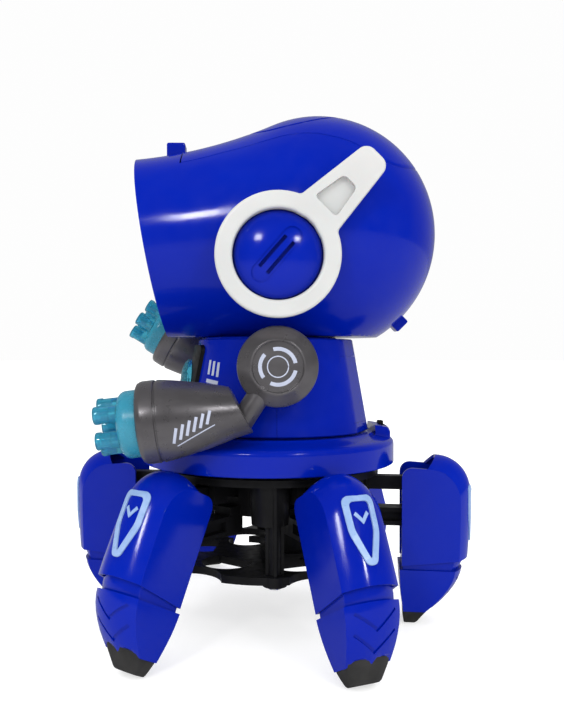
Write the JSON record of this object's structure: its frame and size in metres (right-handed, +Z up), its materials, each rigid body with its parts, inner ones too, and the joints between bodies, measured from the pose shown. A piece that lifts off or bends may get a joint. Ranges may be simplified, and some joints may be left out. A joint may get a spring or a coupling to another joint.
{
  "type": "walking toy robot",
  "caption": "Walking toy robot with a hooded head, turning body, arms with barrel guns, and claw legs that swing in two groups from a central cam.",
  "frame": {"origin": "on the ground, at the middle of the legs' footprint, under the waist axis", "axes": "+Z up along the waist axis; the face looks along -Y; +X is the robot's left side, the side seen in the reference view"},
  "size_m": [0.1822, 0.1804, 0.2274],
  "materials": {
    "blue_shell": "glossy",
    "black_frame": "satin",
    "grey_arm": "satin metallic look",
    "clear_cyan": "translucent",
    "white_trim": "satin",
    "gear_white": "satin",
    "steel": "bright",
    "rubber_foot": "matte",
    "dark_visor": "mirror gloss",
    "cell_wrap": "glossy",
    "board_green": "satin"
  },
  "bodies": {
    "base": {"chassis_frame": "black_frame", "base_plate": "black_frame", "leg_pins": "steel", "base_screws": "steel", "drive_motor": "steel", "skirt": "blue_shell", "waist_post": "black_frame"},
    "crank": {"crank_gear": "gear_white", "cam_plate": "gear_white"},
    "reduction": {"reduction_gear": "gear_white"},
    "pinion": {"motor_pinion": "gear_white"},
    "switch": {"power_switch": "black_frame"},
    "torso": {"torso_front": "blue_shell", "torso_rear": "blue_shell", "battery_door": "blue_shell", "battery_cells": "cell_wrap", "battery_contacts": "steel", "chest_bezel": "black_frame", "chest_lens": "clear_cyan", "speaker": "black_frame", "circuit_board": "board_green"},
    "arm_left": {"shoulder_left": "grey_arm", "forearm_left": "grey_arm", "gun_left": "clear_cyan"},
    "arm_right": {"shoulder_right": "grey_arm", "forearm_right": "grey_arm", "gun_right": "clear_cyan"},
    "head": {"head_left": "blue_shell", "head_right": "blue_shell", "head_top": "blue_shell", "visor_bezel": "black_frame", "visor": "dark_visor", "eye_lights": "clear_cyan", "ear_caps": "blue_shell", "headset_left": "white_trim", "headset_right": "white_trim"},
    "leg_1": {"leg_shell_1": "blue_shell", "claw_1": "blue_shell", "foot_1": "rubber_foot"},
    "rod_1": {"push_rod_1": "black_frame"},
    "leg_2": {"leg_shell_2": "blue_shell", "claw_2": "blue_shell", "foot_2": "rubber_foot"},
    "rod_2": {"push_rod_2": "black_frame"},
    "leg_3": {"leg_shell_3": "blue_shell", "claw_3": "blue_shell", "foot_3": "rubber_foot"},
    "rod_3": {"push_rod_3": "black_frame"},
    "leg_4": {"leg_shell_4": "blue_shell", "claw_4": "blue_shell", "foot_4": "rubber_foot"},
    "rod_4": {"push_rod_4": "black_frame"},
    "leg_5": {"leg_shell_5": "blue_shell", "claw_5": "blue_shell", "foot_5": "rubber_foot"},
    "rod_5": {"push_rod_5": "black_frame"},
    "leg_6": {"leg_shell_6": "blue_shell", "claw_6": "blue_shell", "foot_6": "rubber_foot"},
    "rod_6": {"push_rod_6": "black_frame"}
  },
  "joints": [
    {"name": "leg_swing_2", "type": "hinge", "parent": "base", "child": "leg_2", "pos_m": [0.05752, -0.04494, 0.047], "axis": [-0.6157, -0.788, 0], "range_deg": [-28, 0]},
    {"name": "leg_swing_1", "type": "hinge", "parent": "base", "child": "leg_1", "pos_m": [-0.01016, -0.07229, 0.047], "axis": [-0.9903, 0.1392, 0], "range_deg": [0, 28]},
    {"name": "leg_swing_3", "type": "hinge", "parent": "base", "child": "leg_3", "pos_m": [0.06768, 0.02735, 0.047], "axis": [0.3746, -0.9272, 0], "range_deg": [-28, 0]},
    {"name": "leg_swing_4", "type": "hinge", "parent": "base", "child": "leg_4", "pos_m": [0.01016, 0.07229, 0.047], "axis": [0.9903, -0.1392, 0], "range_deg": [0, 28]},
    {"name": "leg_swing_5", "type": "hinge", "parent": "base", "child": "leg_5", "pos_m": [-0.05752, 0.04494, 0.047], "axis": [0.6157, 0.788, 0], "range_deg": [-28, 0]},
    {"name": "leg_swing_6", "type": "hinge", "parent": "base", "child": "leg_6", "pos_m": [-0.06768, -0.02735, 0.047], "axis": [-0.3746, 0.9272, 0], "range_deg": [-28, 0]},
    {"name": "rod_slide_2", "type": "slide", "parent": "base", "child": "rod_2", "axis": [0.788, -0.6157, 0], "range_m": [0, 0.0073]},
    {"name": "rod_slide_1", "type": "slide", "parent": "base", "child": "rod_1", "axis": [-0.1392, -0.9903, 0], "range_m": [-0.0073, 0]},
    {"name": "rod_slide_3", "type": "slide", "parent": "base", "child": "rod_3", "axis": [0.9272, 0.3746, 0], "range_m": [0, 0.0073]},
    {"name": "rod_slide_4", "type": "slide", "parent": "base", "child": "rod_4", "axis": [0.1392, 0.9903, 0], "range_m": [-0.0073, 0]},
    {"name": "rod_slide_5", "type": "slide", "parent": "base", "child": "rod_5", "axis": [-0.788, 0.6157, 0], "range_m": [0, 0.0073]},
    {"name": "rod_slide_6", "type": "slide", "parent": "base", "child": "rod_6", "axis": [-0.9272, -0.3746, 0], "range_m": [0, 0.0073]},
    {"name": "crank_spin", "type": "hinge", "parent": "base", "child": "crank", "pos_m": [0, 0, 0.055], "axis": [0, 0, 1], "continuous": true},
    {"name": "reduction_spin", "type": "hinge", "parent": "base", "child": "reduction", "pos_m": [0.00209, 0.01485, 0.055], "axis": [0, 0, 1], "continuous": true},
    {"name": "pinion_spin", "type": "hinge", "parent": "base", "child": "pinion", "pos_m": [0.01268, 0.00922, 0.053], "axis": [0, 0, 1], "continuous": true},
    {"name": "switch_slide", "type": "slide", "parent": "base", "child": "switch", "axis": [1, 0, 0], "range_m": [0, 0.006]},
    {"name": "waist_turn", "type": "hinge", "parent": "base", "child": "torso", "pos_m": [0, 0, 0.0855], "axis": [0, 0, 1], "range_deg": [-40, 40]},
    {"name": "head_turn", "type": "hinge", "parent": "torso", "child": "head", "pos_m": [0, 0, 0.1276], "axis": [0, 0, 1], "range_deg": [-15, 15]},
    {"name": "shoulder_left_lift", "type": "hinge", "parent": "torso", "child": "arm_left", "pos_m": [0.0505, 0.0025, 0.115], "axis": [-1, 0, 0], "range_deg": [0, 42]},
    {"name": "shoulder_right_lift", "type": "hinge", "parent": "torso", "child": "arm_right", "pos_m": [-0.0505, 0.0025, 0.115], "axis": [-1, 0, 0], "range_deg": [-38, 4]}
  ],
  "couplings": [
    {"joint": "leg_swing_1", "follows": "leg_swing_2", "ratio": -1},
    {"joint": "leg_swing_3", "follows": "leg_swing_2", "ratio": 1},
    {"joint": "leg_swing_4", "follows": "leg_swing_2", "ratio": -1},
    {"joint": "leg_swing_5", "follows": "leg_swing_2", "ratio": 1},
    {"joint": "leg_swing_6", "follows": "leg_swing_2", "ratio": 1},
    {"joint": "rod_slide_2", "follows": "leg_swing_2", "m_per_rad": -0.01473},
    {"joint": "rod_slide_1", "follows": "leg_swing_2", "m_per_rad": 0.01473},
    {"joint": "rod_slide_3", "follows": "leg_swing_2", "m_per_rad": -0.01473},
    {"joint": "rod_slide_4", "follows": "leg_swing_2", "m_per_rad": 0.01473},
    {"joint": "rod_slide_5", "follows": "leg_swing_2", "m_per_rad": -0.01473},
    {"joint": "rod_slide_6", "follows": "leg_swing_2", "m_per_rad": -0.01473},
    {"joint": "reduction_spin", "follows": "crank_spin", "ratio": -4},
    {"joint": "pinion_spin", "follows": "crank_spin", "ratio": 12}
  ]
}
